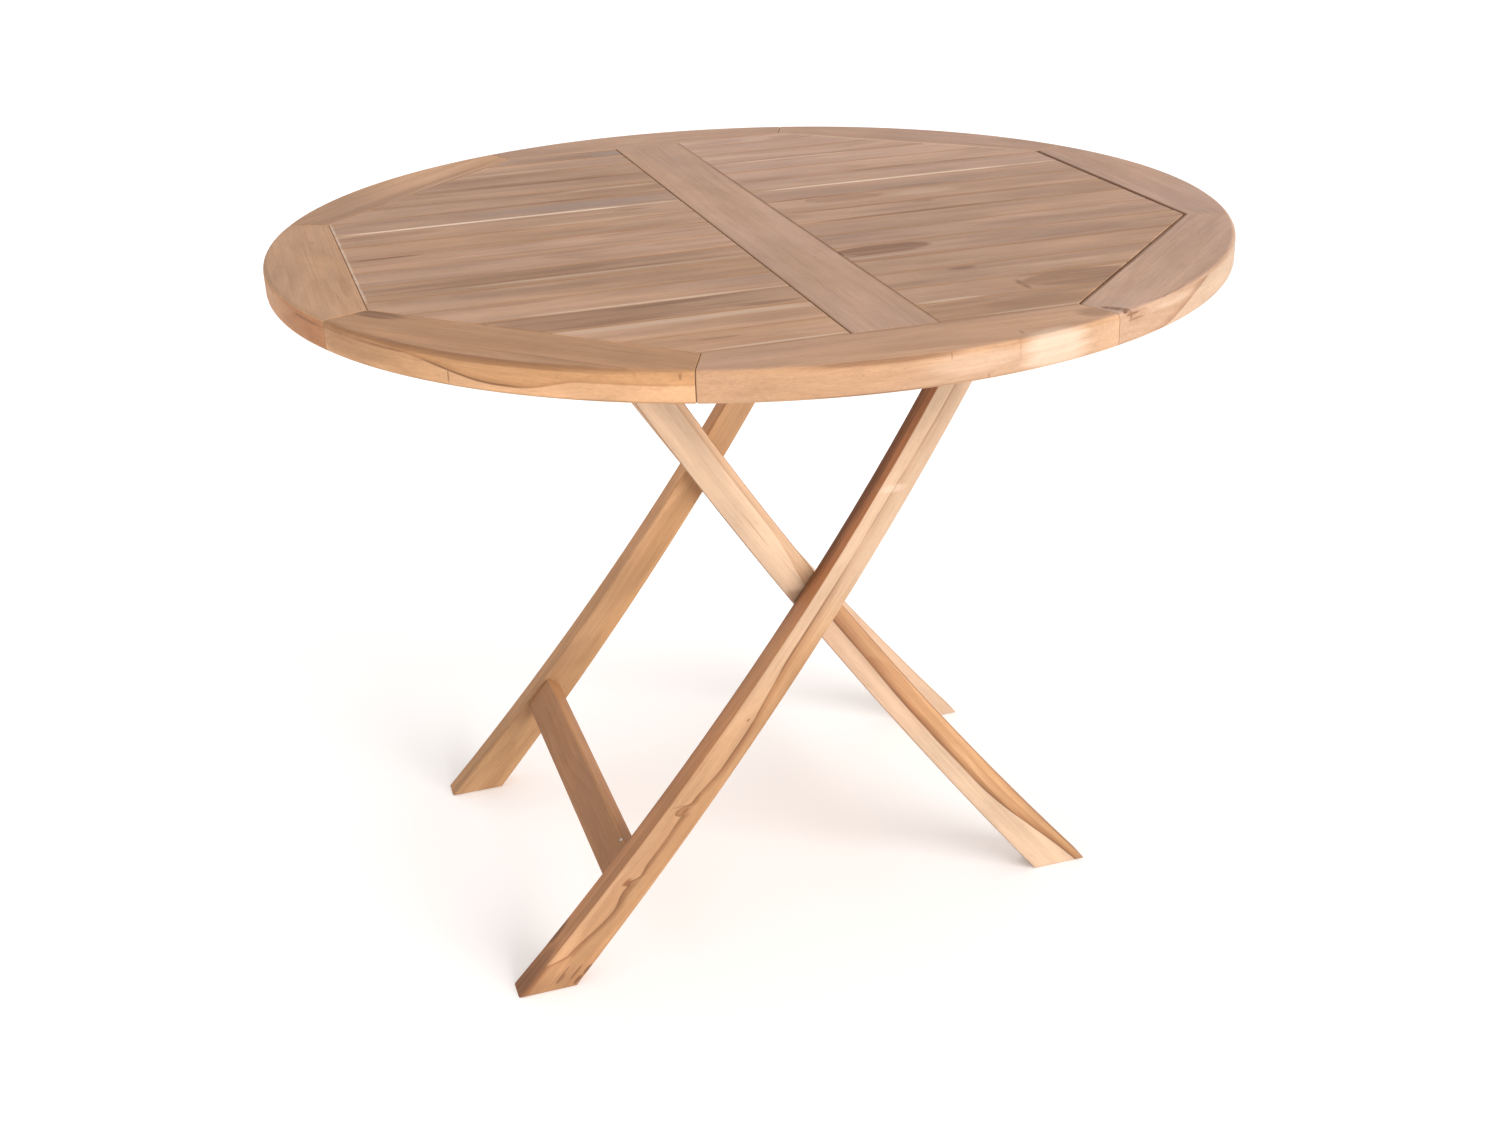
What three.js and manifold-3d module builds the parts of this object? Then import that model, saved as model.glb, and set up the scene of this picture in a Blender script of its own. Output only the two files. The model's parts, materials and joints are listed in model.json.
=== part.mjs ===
// Round folding garden table: a slatted round top on two crossed, curved leg frames.
// Units are millimetres. +Z is up, the floor is z = 0, +X runs along the slats and
// +Y along the centre rail. "front" is the -Y side and "rear" the +Y side.
import * as THREE from 'three';
import { mergeVertices } from 'three/addons/utils/BufferGeometryUtils.js';
import Module from 'manifold-3d';

const wasm = await Module();
wasm.setup();

// ---- overall size
const TOP_RADIUS = 500;
const TOP_Z = 750;
const RIM_THICKNESS = 30;
const GAP = 0.3;

// ---- table top
const OCTAGON_APOTHEM = 419.5;
const RIM_EDGE_RADIUS = 5;
const RIM_STEPS = 160;
const RAIL_HALF_WIDTH = 40;
const SLAT_THICKNESS = 20;
const SLAT_COUNT = 16;
const SLAT_PITCH = 53.5;
const SLAT_CHAMFER = 1.2;
const SLAT_END_GAP = 1;
const OPEN_JOINT = 1.6;
const TONGUE_LENGTH = 9;
const TONGUE_LOW = 14;
const TONGUE_HIGH = 7;
const GROOVE_CLEARANCE = 0.4;

// ---- legs: centre line x0 + slope z + curve z^2, and width across the floor direction
// width + taper z + flare z^2
const LEG_THICKNESS = 29;
const OUTER_LEG_INNER_FACE = 202.8;
const INNER_LEG_INNER_FACE = 173;
const LEG_EASE = 2.5;
const LEG_STEPS = 22;
const OUTER_LEG = { x0: -323.8, slope: 0.9039, curve: -2.554e-4, width: 62.7, taper: -0.0692, flare: 4.7e-5 };
const INNER_LEG = { x0: 292.9, slope: -0.8179, curve: 1.679e-4, width: 63.1, taper: -0.065, flare: 5.7e-5 };

// ---- pivots, seen from the front as x, z
const CROSSING_Z = 396.9;
const TILT_Z = 688;
const CATCH_Z = 684;
const OUTER_END_RADIUS = 30;
const INNER_END_RADIUS = 20;
const BOLT_RADIUS = 4;
const BORE_RADIUS = 4.09;
const ROUND_STEPS = 48;

// ---- rails and stretchers
const STRETCHER_LENGTH = 44;
const STRETCHER_THICKNESS = 20;
const STRETCHER_SETBACK = 4;
const OUTER_STRETCHER_Z = 116;
const INNER_STRETCHER_Z = 150;
const TENON_DEPTH = 13;
const TOP_RAIL_RADIUS = 12.2;
const TOP_RAIL_TENON_RADIUS = 9.5;
const TOP_RAIL_TENON_DEPTH = 15;

// ---- battens and catch cleats under the top
const BATTEN_INNER_FACE = 232.4;
const BATTEN_THICKNESS = 26;
const BATTEN_HEIGHT = 50;
const BATTEN_HALF_LENGTH = 375;
const BATTEN_TAPER_LENGTH = 125;
const BATTEN_END_HEIGHT = 16;
const CLEAT_INNER_FACE = 118;
const CLEAT_THICKNESS = 32;
const CLEAT_HEIGHT = 30;
const CLEAT_START = -445;
const CLEAT_CHAMFER = [25, 18];
const CLEAT_END = 38;
const NOTCH_RADIUS = 12.5;

const UNDERSIDE_Z = TOP_Z - RIM_THICKNESS;
const MITRE_ANGLE = Math.PI / 8;
const SIDES = { front: -1, rear: 1 };

const centreX = (leg, z) => leg.x0 + leg.slope * z + leg.curve * z * z;
const legSlope = (leg, z) => leg.slope + 2 * leg.curve * z;
const legWidthX = (leg, z) => leg.width + leg.taper * z + leg.flare * z * z;

const CROSSING = { x: centreX(OUTER_LEG, CROSSING_Z), z: CROSSING_Z };
const TILT = { x: centreX(OUTER_LEG, TILT_Z), z: TILT_Z };
const CATCH = { x: centreX(INNER_LEG, CATCH_Z), z: CATCH_Z };

const TEAK_TOP = { color: 0xb4917a, roughness: 0.62, metalness: 0 };
const TEAK_RIM = { color: 0xc09a7a, roughness: 0.6, metalness: 0 };
const TEAK_LEG = { color: 0xe0ac82, roughness: 0.58, metalness: 0 };
const STEEL = { color: 0xb9bcc0, roughness: 0.3, metalness: 1 };

const table = new THREE.Group();
table.name = 'folding_table';

// ---- solid modelling helpers

function toSolid(geometry) {
  const bare = new THREE.BufferGeometry();
  bare.setAttribute('position', geometry.getAttribute('position'));
  bare.setIndex(geometry.getIndex());
  const merged = mergeVertices(bare, 1e-4);
  const index = merged.getIndex().array;
  const kept = [];
  for (let i = 0; i < index.length; i += 3) {
    const [a, b, c] = [index[i], index[i + 1], index[i + 2]];
    if (a !== b && b !== c && c !== a) {
      kept.push(a, b, c);
    }
  }
  const mesh = new wasm.Mesh({
    numProp: 3,
    vertProperties: new Float32Array(merged.getAttribute('position').array),
    triVerts: new Uint32Array(kept),
  });
  return new wasm.Manifold(mesh);
}

function addPart(name, solid, finish) {
  const data = solid.getMesh();
  const geometry = new THREE.BufferGeometry();
  geometry.setAttribute('position', new THREE.BufferAttribute(data.vertProperties, 3));
  geometry.setIndex(new THREE.BufferAttribute(data.triVerts, 1));
  const flat = geometry.toNonIndexed();
  flat.computeVertexNormals();
  const mesh = new THREE.Mesh(flat, new THREE.MeshStandardMaterial(finish));
  mesh.name = name;
  table.add(mesh);
}

function shapeOf(points) {
  return new THREE.Shape(points.map(([u, v]) => new THREE.Vector2(u, v)));
}

// Extrudes an outline over [0, thickness], easing its edges by `ease` when that isn't zero.
function extrude(points, thickness, ease = 0) {
  const geometry = new THREE.ExtrudeGeometry(shapeOf(points), {
    depth: thickness - 2 * ease,
    bevelEnabled: ease > 0,
    bevelThickness: ease,
    bevelSize: ease,
    bevelOffset: -ease,
    bevelSegments: 2,
    curveSegments: 1,
  });
  return geometry.translate(0, 0, ease);
}

// Outline in x, y, standing from z = low to z = high.
function prismZ(points, low, high) {
  return toSolid(extrude(points, high - low).translate(0, 0, low));
}

// Outline in x, z, running from y = low to y = high.
function prismY(points, low, high, ease = 0) {
  const geometry = extrude(points, high - low, ease).rotateX(Math.PI / 2);
  return toSolid(geometry.translate(0, high, 0));
}

// Outline in y, z, running from x = low to x = high.
function prismX(points, low, high) {
  const geometry = extrude(points, high - low).rotateX(Math.PI / 2).rotateZ(Math.PI / 2);
  return toSolid(geometry.translate(low, 0, 0));
}

// Round bar along Y between two y values given in either order.
function barY(centre, radius, yA, yB, steps = ROUND_STEPS) {
  const geometry = new THREE.CylinderGeometry(radius, radius, Math.abs(yB - yA), steps);
  return toSolid(geometry.translate(centre.x, (yA + yB) / 2, centre.z));
}

function box(x0, x1, y0, y1, z0, z1) {
  return prismZ([[x0, y0], [x1, y0], [x1, y1], [x0, y1]], z0, z1);
}

const between = (side, near, far) => (side > 0 ? [near, far] : [-far, -near]);

// ---- table top

// Regular octagon about the table's centre. `openings` adds a wider joint to single sides,
// numbered anticlockwise from the +X side.
function octagon(apothem, openings = {}) {
  const distance = (side) => apothem - (openings[side] ?? 0);
  const corners = [];
  for (let side = 0; side < 8; side += 1) {
    const next = (side + 1) % 8;
    const a = side * 2 * MITRE_ANGLE;
    const b = next * 2 * MITRE_ANGLE;
    const det = Math.sin(b - a);
    const x = (distance(side) * Math.sin(b) - distance(next) * Math.sin(a)) / det;
    const y = (distance(next) * Math.cos(a) - distance(side) * Math.cos(b)) / det;
    corners.push([x, y]);
  }
  return corners;
}

function roundedDisc() {
  const profile = [new THREE.Vector2(0, UNDERSIDE_Z)];
  const arcSteps = 4;
  for (const [centreZ, start] of [[UNDERSIDE_Z + RIM_EDGE_RADIUS, -Math.PI / 2], [TOP_Z - RIM_EDGE_RADIUS, 0]]) {
    for (let step = 0; step <= arcSteps; step += 1) {
      const angle = start + (step / arcSteps) * Math.PI / 2;
      const radius = TOP_RADIUS - RIM_EDGE_RADIUS * (1 - Math.cos(angle));
      profile.push(new THREE.Vector2(radius, centreZ + RIM_EDGE_RADIUS * Math.sin(angle)));
    }
  }
  profile.push(new THREE.Vector2(0, TOP_Z));
  return toSolid(new THREE.LatheGeometry(profile, RIM_STEPS).rotateX(Math.PI / 2));
}

function buildRim() {
  const groove = prismZ(
    octagon(OCTAGON_APOTHEM + TONGUE_LENGTH + GROOVE_CLEARANCE),
    TOP_Z - TONGUE_LOW - GROOVE_CLEARANCE,
    TOP_Z - TONGUE_HIGH + GROOVE_CLEARANCE,
  );
  const opening = prismZ(octagon(OCTAGON_APOTHEM), UNDERSIDE_Z - 5, TOP_Z + 5);
  const ring = roundedDisc().subtract(opening).subtract(groove);
  const reach = 2 * TOP_RADIUS;
  const shift = (GAP / 2) / Math.sin(MITRE_ANGLE);
  for (let segment = 0; segment < 8; segment += 1) {
    const middle = segment * 2 * MITRE_ANGLE;
    const apex = [shift * Math.cos(middle), shift * Math.sin(middle)];
    const corner = (angle) => [apex[0] + reach * Math.cos(angle), apex[1] + reach * Math.sin(angle)];
    const wedge = prismZ(
      [apex, corner(middle - MITRE_ANGLE), corner(middle + MITRE_ANGLE)],
      UNDERSIDE_Z - 5,
      TOP_Z + 5,
    );
    addPart(`rim_${segment + 1}`, ring.intersect(wedge), TEAK_RIM);
  }
}

function buildCentreRail() {
  const end = OCTAGON_APOTHEM - GAP;
  const half = RAIL_HALF_WIDTH;
  const tenonEnd = OCTAGON_APOTHEM + TONGUE_LENGTH;
  const grooveFloor = half - TONGUE_LENGTH - GROOVE_CLEARANCE - SLAT_END_GAP;
  const grooveLow = TOP_Z - TONGUE_LOW - GROOVE_CLEARANCE;
  const grooveHigh = TOP_Z - TONGUE_HIGH + GROOVE_CLEARANCE;
  const body = box(-half, half, -end, end, UNDERSIDE_Z, TOP_Z);
  const tenons = box(-half + 14, half - 14, -tenonEnd, tenonEnd, TOP_Z - TONGUE_LOW, TOP_Z - TONGUE_HIGH);
  const left = box(-half - 5, -grooveFloor, -end - 5, end + 5, grooveLow, grooveHigh);
  const right = box(grooveFloor, half + 5, -end - 5, end + 5, grooveLow, grooveHigh);
  addPart('centre_rail', body.subtract(left).subtract(right).add(tenons), TEAK_TOP);
}

// Outline of one slat in y, z with its two long top edges chamfered.
function slatSection(low, high) {
  const bottom = TOP_Z - SLAT_THICKNESS;
  const shoulder = TOP_Z - SLAT_CHAMFER;
  return [
    [low, bottom],
    [high, bottom],
    [high, shoulder],
    [high - SLAT_CHAMFER, TOP_Z],
    [low + SLAT_CHAMFER, TOP_Z],
    [low, shoulder],
  ];
}

function buildSlats() {
  const below = TOP_Z - SLAT_THICKNESS - 5;
  const above = TOP_Z + 5;
  const inner = RAIL_HALF_WIDTH + SLAT_END_GAP;
  const groups = {
    left: { sign: -1, openings: {} },
    right: { sign: 1, openings: { 0: OPEN_JOINT - GAP, 7: OPEN_JOINT - GAP } },
  };
  for (const [name, { sign, openings }] of Object.entries(groups)) {
    const panel = prismZ(octagon(OCTAGON_APOTHEM - GAP, openings), below, above);
    const tongues = prismZ(octagon(OCTAGON_APOTHEM + TONGUE_LENGTH, openings), below, above);
    for (let index = 0; index < SLAT_COUNT; index += 1) {
      const start = -OCTAGON_APOTHEM + index * SLAT_PITCH;
      const low = start + GAP;
      const high = Math.min(start + SLAT_PITCH, OCTAGON_APOTHEM) - GAP;
      const [boardStart, boardEnd] = between(sign, inner, TOP_RADIUS);
      const [tongueStart, tongueEnd] = between(sign, inner - TONGUE_LENGTH, TOP_RADIUS);
      const board = prismX(slatSection(low, high), boardStart, boardEnd).intersect(panel);
      const tongue = box(tongueStart, tongueEnd, low, high, TOP_Z - TONGUE_LOW, TOP_Z - TONGUE_HIGH);
      const label = String(index + 1).padStart(2, '0');
      addPart(`slat_${name}_${label}`, board.add(tongue.intersect(tongues)), TEAK_TOP);
    }
  }
}

// ---- underframe of the top

function buildBattensAndCleats() {
  const top = UNDERSIDE_Z - GAP;
  const low = top - BATTEN_HEIGHT;
  const end = BATTEN_HALF_LENGTH;
  const full = end - BATTEN_TAPER_LENGTH;
  const thin = top - BATTEN_END_HEIGHT;
  const batten = [[-end, top], [-end, thin], [-full, low], [full, low], [end, thin], [end, top]];
  const cleatLow = top - CLEAT_HEIGHT;
  const cleat = [
    [CLEAT_START, top],
    [CLEAT_START, cleatLow + CLEAT_CHAMFER[1]],
    [CLEAT_START + CLEAT_CHAMFER[0], cleatLow],
    [CLEAT_END, cleatLow],
    [CLEAT_END, top],
  ];
  for (const [name, side] of Object.entries(SIDES)) {
    const [b0, b1] = between(side, BATTEN_INNER_FACE, BATTEN_INNER_FACE + BATTEN_THICKNESS);
    const boltHole = barY(TILT, BORE_RADIUS, b0 - 5, b1 + 5);
    addPart(`batten_${name}`, prismY(batten, b0, b1).subtract(boltHole), TEAK_LEG);
    const [c0, c1] = between(side, CLEAT_INNER_FACE, CLEAT_INNER_FACE + CLEAT_THICKNESS);
    const notch = barY(CATCH, NOTCH_RADIUS, c0 - 5, c1 + 5);
    addPart(`catch_cleat_${name}`, prismY(cleat, c0, c1).subtract(notch), TEAK_LEG);
  }
}

// ---- legs

function edgePoint(leg, z, hand) {
  return [centreX(leg, z) + hand * legWidthX(leg, z) / 2, z];
}

// Height at which one edge of a leg enters the circle that rounds the leg's upper end.
function edgeMeetsEnd(leg, hand, centre, radius) {
  let low = centre.z - radius;
  let high = centre.z + radius;
  for (let pass = 0; pass < 40; pass += 1) {
    const z = (low + high) / 2;
    const [x] = edgePoint(leg, z, hand);
    const outside = Math.hypot(x - centre.x, z - centre.z) > radius && z > centre.z;
    if (outside) {
      high = z;
    } else {
      low = z;
    }
  }
  return low;
}

function legOutline(leg, centre, endRadius) {
  const points = [];
  const rightTop = edgeMeetsEnd(leg, 1, centre, endRadius);
  const leftTop = edgeMeetsEnd(leg, -1, centre, endRadius);
  for (let step = 0; step <= LEG_STEPS; step += 1) {
    points.push(edgePoint(leg, (step / LEG_STEPS) * rightTop, 1));
  }
  const angleOf = ([x, z]) => Math.atan2(z - centre.z, x - centre.x);
  const start = angleOf(edgePoint(leg, rightTop, 1));
  const finish = angleOf(edgePoint(leg, leftTop, -1));
  const arcSteps = 8;
  for (let step = 1; step < arcSteps; step += 1) {
    const angle = start + (step / arcSteps) * (finish - start);
    points.push([centre.x + endRadius * Math.cos(angle), centre.z + endRadius * Math.sin(angle)]);
  }
  for (let step = LEG_STEPS; step >= 0; step -= 1) {
    points.push(edgePoint(leg, (step / LEG_STEPS) * leftTop, -1));
  }
  return points;
}

// Rounded rectangle in x, z with its long side along the leg at height z.
function crossSection(leg, z, length, thickness, offset) {
  const slope = legSlope(leg, z);
  const along = new THREE.Vector2(slope, 1).normalize();
  const across = new THREE.Vector2(along.y, -along.x);
  const middle = new THREE.Vector2(centreX(leg, z), z).addScaledVector(across, offset);
  const radius = 3;
  const cornerSteps = 3;
  const points = [];
  for (let corner = 0; corner < 4; corner += 1) {
    const u = (corner === 0 || corner === 3 ? 1 : -1) * (length / 2 - radius);
    const v = (corner < 2 ? 1 : -1) * (thickness / 2 - radius);
    for (let step = 0; step <= cornerSteps; step += 1) {
      const angle = (corner + step / cornerSteps) * Math.PI / 2;
      const point = middle.clone();
      point.addScaledVector(along, u + radius * Math.cos(angle));
      point.addScaledVector(across, v + radius * Math.sin(angle));
      points.push([point.x, point.y]);
    }
  }
  return points;
}

// Offset that puts an outer-frame stretcher just inside the upper edge of its leg.
function outerStretcherOffset() {
  const slope = legSlope(OUTER_LEG, OUTER_STRETCHER_Z);
  const halfWidth = legWidthX(OUTER_LEG, OUTER_STRETCHER_Z) / 2 / Math.hypot(1, slope);
  return STRETCHER_SETBACK + STRETCHER_THICKNESS / 2 - halfWidth;
}

function stretcherSections(leg, z, offset) {
  return {
    body: crossSection(leg, z, STRETCHER_LENGTH, STRETCHER_THICKNESS, offset),
    tenon: crossSection(leg, z, STRETCHER_LENGTH - 14, STRETCHER_THICKNESS - 9, offset),
    mortise: crossSection(leg, z, STRETCHER_LENGTH - 13.2, STRETCHER_THICKNESS - 8.2, offset),
  };
}

const OUTER_SECTIONS = stretcherSections(OUTER_LEG, OUTER_STRETCHER_Z, outerStretcherOffset());
const INNER_SECTIONS = stretcherSections(INNER_LEG, INNER_STRETCHER_Z, 0);

function buildStretcher(name, sections, innerFace) {
  const body = prismY(sections.body, -innerFace + GAP, innerFace - GAP);
  const reach = innerFace + TENON_DEPTH;
  addPart(name, body.add(prismY(sections.tenon, -reach, reach)), TEAK_LEG);
}

function buildOuterFrame() {
  const outline = legOutline(OUTER_LEG, TILT, OUTER_END_RADIUS);
  const face = OUTER_LEG_INNER_FACE;
  for (const [name, side] of Object.entries(SIDES)) {
    const [y0, y1] = between(side, face, face + LEG_THICKNESS);
    const [m0, m1] = between(side, face - 5, face + TENON_DEPTH + GAP);
    const leg = prismY(outline, y0, y1, LEG_EASE)
      .subtract(prismY(OUTER_SECTIONS.mortise, m0, m1))
      .subtract(barY(CROSSING, 6.8, side * (face - 5), side * (face + 23.5)))
      .subtract(barY(TILT, BORE_RADIUS, y0 - 5, y1 + 5))
      .subtract(barY(TILT, 8.5, side * (face - 5), side * (face + 4.6)));
    addPart(`outer_leg_${name}`, leg, TEAK_LEG);
    const sleeve = barY(CROSSING, 6.5, side * (face + 0.4), side * (face + 23));
    const thread = barY(CROSSING, BORE_RADIUS, side * (face - 5), side * (face + 30));
    addPart(`cross_insert_${name}`, sleeve.subtract(thread), STEEL);
  }
  buildStretcher('outer_stretcher', OUTER_SECTIONS, face);
}

function buildInnerFrame() {
  const outline = legOutline(INNER_LEG, CATCH, INNER_END_RADIUS);
  const face = INNER_LEG_INNER_FACE;
  for (const [name, side] of Object.entries(SIDES)) {
    const [y0, y1] = between(side, face, face + LEG_THICKNESS);
    const [m0, m1] = between(side, face - 5, face + TENON_DEPTH + GAP);
    const socketEnd = side * (face + TOP_RAIL_TENON_DEPTH + GAP);
    const leg = prismY(outline, y0, y1, LEG_EASE)
      .subtract(prismY(INNER_SECTIONS.mortise, m0, m1))
      .subtract(barY(CATCH, TOP_RAIL_TENON_RADIUS + GAP, side * (face - 5), socketEnd))
      .subtract(barY(CROSSING, BORE_RADIUS, y0 - 5, y1 + 5));
    addPart(`inner_leg_${name}`, leg, TEAK_LEG);
    const head = barY(CROSSING, 7.5, side * (face - GAP), side * (face - 5));
    const shank = barY(CROSSING, BOLT_RADIUS, side * (face - GAP), side * (face + 50));
    const socket = barY(CROSSING, 2.8, side * (face - 8), side * (face - 2.4), 6);
    addPart(`cross_bolt_${name}`, head.add(shank).subtract(socket), STEEL);
  }
  buildStretcher('inner_stretcher', INNER_SECTIONS, face);
  const rail = barY(CATCH, TOP_RAIL_RADIUS, -face + GAP, face - GAP);
  const reach = face + TOP_RAIL_TENON_DEPTH;
  addPart('inner_top_rail', rail.add(barY(CATCH, TOP_RAIL_TENON_RADIUS, -reach, reach)), TEAK_LEG);
}

// The bolt's flat head sits in the leg's inner face and its dome nut on the batten's outer face.
function buildTiltPivots() {
  const face = OUTER_LEG_INNER_FACE;
  const nutFace = BATTEN_INNER_FACE + BATTEN_THICKNESS + GAP;
  for (const [name, side] of Object.entries(SIDES)) {
    const head = barY(TILT, 8, side * (face + 0.4), side * (face + 4.2));
    const shank = barY(TILT, BOLT_RADIUS, side * (face + 2), side * (nutFace + 4.5));
    const socket = barY(TILT, 2.8, side * (face - 3), side * (face + 2.8), 6);
    addPart(`tilt_bolt_${name}`, head.add(shank).subtract(socket), STEEL);
    const hexagon = barY(TILT, 7.5, side * nutFace, side * (nutFace + 6), 6);
    const dome = toSolid(new THREE.SphereGeometry(5.6, 24, 12).translate(TILT.x, side * (nutFace + 5), TILT.z));
    const bore = barY(TILT, BORE_RADIUS, side * (nutFace - 3), side * (nutFace + 5));
    const outside = box(TILT.x - 20, TILT.x + 20, ...between(side, nutFace, nutFace + 30), TILT.z - 20, TILT.z + 20);
    addPart(`tilt_nut_${name}`, hexagon.add(dome).intersect(outside).subtract(bore), STEEL);
  }
}

buildRim();
buildCentreRail();
buildSlats();
buildBattensAndCleats();
buildOuterFrame();
buildInnerFrame();
buildTiltPivots();

export default table;
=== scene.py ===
"""Round slatted folding table: looks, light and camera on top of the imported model."""
import json
import math

import bmesh
import bpy
from mathutils import Matrix, Vector

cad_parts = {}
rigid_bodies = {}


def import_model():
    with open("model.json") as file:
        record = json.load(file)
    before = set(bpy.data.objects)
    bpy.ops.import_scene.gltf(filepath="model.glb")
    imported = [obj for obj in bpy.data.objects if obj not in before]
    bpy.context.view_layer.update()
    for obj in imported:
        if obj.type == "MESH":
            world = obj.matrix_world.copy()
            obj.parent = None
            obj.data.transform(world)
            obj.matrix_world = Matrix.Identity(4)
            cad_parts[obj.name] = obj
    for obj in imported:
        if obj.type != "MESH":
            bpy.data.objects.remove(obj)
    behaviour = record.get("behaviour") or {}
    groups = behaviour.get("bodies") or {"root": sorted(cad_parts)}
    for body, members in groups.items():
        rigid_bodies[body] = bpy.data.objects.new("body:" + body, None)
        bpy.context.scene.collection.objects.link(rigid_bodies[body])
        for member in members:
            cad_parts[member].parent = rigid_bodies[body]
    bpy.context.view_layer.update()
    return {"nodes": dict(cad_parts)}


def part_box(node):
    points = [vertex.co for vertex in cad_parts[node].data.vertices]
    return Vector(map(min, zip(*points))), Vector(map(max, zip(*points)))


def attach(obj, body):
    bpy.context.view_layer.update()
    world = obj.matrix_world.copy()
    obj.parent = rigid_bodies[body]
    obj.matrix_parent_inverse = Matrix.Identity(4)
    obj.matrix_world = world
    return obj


for leftover in list(bpy.data.objects):
    bpy.data.objects.remove(leftover)

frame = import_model()

# Camera: place in metres, turn in degrees, lens and sensor in millimetres.
CAMERA_PLACE = (-0.5597, -1.8167, 1.2147)
CAMERA_TURN = (65.581, 1.924, -17.671)
CAMERA_LENS = 43.7
SENSOR_WIDTH = 36

# Studio: a white surround, one low soft sun from the front right and a nearly white floor.
# Angles are in degrees and lengths in metres.
WHITE = (1.0, 1.0, 1.0, 1)
SURROUND_STRENGTH = 0.82
SUN_AZIMUTH = 32
SUN_ELEVATION = 17
SUN_STRENGTH = 3.0
SUN_SIZE = 40
SUN_COLOUR = (1.0, 0.99, 0.97)
FLOOR_REACH = 60
FLOOR_DROP = 0.0004
FLOOR_COLOUR = (0.98, 0.98, 0.98, 1)
FLOOR_ROUGHNESS = 0.9
FLOOR_GLOSS = 0.1
FLOOR_GLOW = 0.14

# The tabletop, in metres.
RIM_SEGMENTS = 8
RIM_MIDDLE_RADIUS = 0.46
RIM_OUTER_RADIUS = 0.5
RIM_MIDDLE_Z = 0.735
TOP_Z = 0.75
CENTRE_RAIL_HALF_WIDTH = 0.04

# Leg centre lines x = x0 + slope z + curve z^2, and how far along the leg one metre of height goes.
OUTER_LEG = (-0.3238, 0.9039, -0.2554)
INNER_LEG = (0.2929, -0.8179, 0.1679)
LEG_STRETCH = 1.28
# A leg's mean slope, as a share of its slope at the floor.
MEAN_SLOPE = 0.8

# Edges sharper than SHARP_ANGLE degrees are eased, after facets flatter than FACET_ANGLE are joined.
WELD_REACH = 0.00002
FACET_ANGLE = 0.12
SHARP_ANGLE = 32
EDGE_WIDTH = 0.0012
EDGE_SEGMENTS = 2

# Linear colours of the wood, from its lightest to its darkest parts.
PALE = (0.70, 0.53, 0.40)
SAPWOOD = (0.61, 0.43, 0.30)
EARLYWOOD = (0.56, 0.335, 0.185)
DEEP_EARLYWOOD = tuple(channel * 0.84 for channel in EARLYWOOD)
LATEWOOD = (0.40, 0.213, 0.108)
GRIME = tuple(channel * 0.7 for channel in LATEWOOD)
GREY_STAIN = (0.30, 0.215, 0.175)
KNOT = (0.23, 0.092, 0.038)
# The darkest colour is also that of the painted shade and shadow marks.
DARK_STREAK_AND_SHADE = (0.18, 0.078, 0.035)

# Tints that multiply the wood's colour.
COOL = (0.95, 1.0, 1.22)
WARM = (1.06, 0.985, 0.84)
WEATHERED = (0.83, 0.82, 0.90)
# RUDDY also reddens the painted shade on the narrow sides.
RUDDY = (0.78, 0.56, 0.44)

# How far the warmth wanders in a board, and how much pores and end grain darken it.
HUE_SWING = 0.14
PORE_DARKENS = 0.16
END_GRAIN_DARKENS = 0.55

# The glow beside a sapwood line, and how much of the sapwood the narrow sides of a board hide.
GLOW_DARKENS = 0.18
GLOW_REDDENS = 0.6
NARROW_SIDE_HIDES = 0.85

# Annual rings run round a pith line below the board. Two slow noises move them, in metres.
RINGS_PER_METRE = 105
PITH_DEPTH = 0.035
BEND_SIDEWAYS = 0.05
SWAY_SIDEWAYS = 0.03
SWAY_DEPTH = 0.07

# Noise in the wood: cells per metre along, across and through the board, detail, roughness, offset.
WOOD_NOISE = {
    "bend": ((2.2, 7.0, 7.0), 2, 0.5, None),
    "sway": ((2.6, 6.0, 6.0), 1, 0.5, (7.7, 3.3, 1.1)),
    "late": ((3.0, 16.0, 16.0), 2, 0.5, None),
    "fibre": ((9.0, 520.0, 520.0), 3, 0.6, None),
    "coarse": ((5.5, 105.0, 105.0), 3, 0.6, None),
    "band": ((3.6, 36.0, 36.0), 3, 0.55, (1.3, 5.9, 0.4)),
    "pore": ((75.0, 1900.0, 1900.0), 1, 0.5, None),
    "cloud": ((2.6, 9.0, 9.0), 3, 0.5, None),
    "mottle": ((13.0, 26.0, 26.0), 3, 0.5, (3.7, 2.2, 8.8)),
    "hue": ((3.3, 14.0, 14.0), 2, 0.5, (4.1, 0.7, 6.2)),
    "streak": ((2.4, 62.0, 62.0), 4, 0.62, None),
    "patch": ((3.1, 15.0, 15.0), 2, 0.5, (2.9, 8.1, 4.4)),
}

# Cells of the noise that roughens marks, knots and sapwood lines, and how knots stretch and bend the grain.
MARK_EDGE_CELLS = (14.0, 150.0, 150.0)
MARK_LINE_CELLS = (5.0, 260.0, 260.0)
KNOT_EDGE_CELLS = (60.0, 160.0, 160.0)
KNOT_LENGTHENS = 0.55
KNOT_BENDS = 0.8
SAP_WAVE_CELLS = (7.0, 4.0, 4.0)
SAP_PATCH_CELLS = (11.0, 11.0, 11.0)

# Relief of the wood and of the steel, as strength and depth in metres, and the wood's gloss.
WOOD_BUMP = (0.35, 0.0006)
STEEL_BUMP = (0.2, 0.0002)
WOOD_GLOSS = 0.3

# Steel: its colours, and cells per metre of its dull patches and turning lines.
BRIGHT_STEEL = (0.66, 0.65, 0.63)
DULL_STEEL = (0.42, 0.40, 0.37)
DULL_CELLS = (160.0, 160.0, 160.0)
TURNING_CELLS = (420.0, 2600.0, 420.0)

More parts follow.
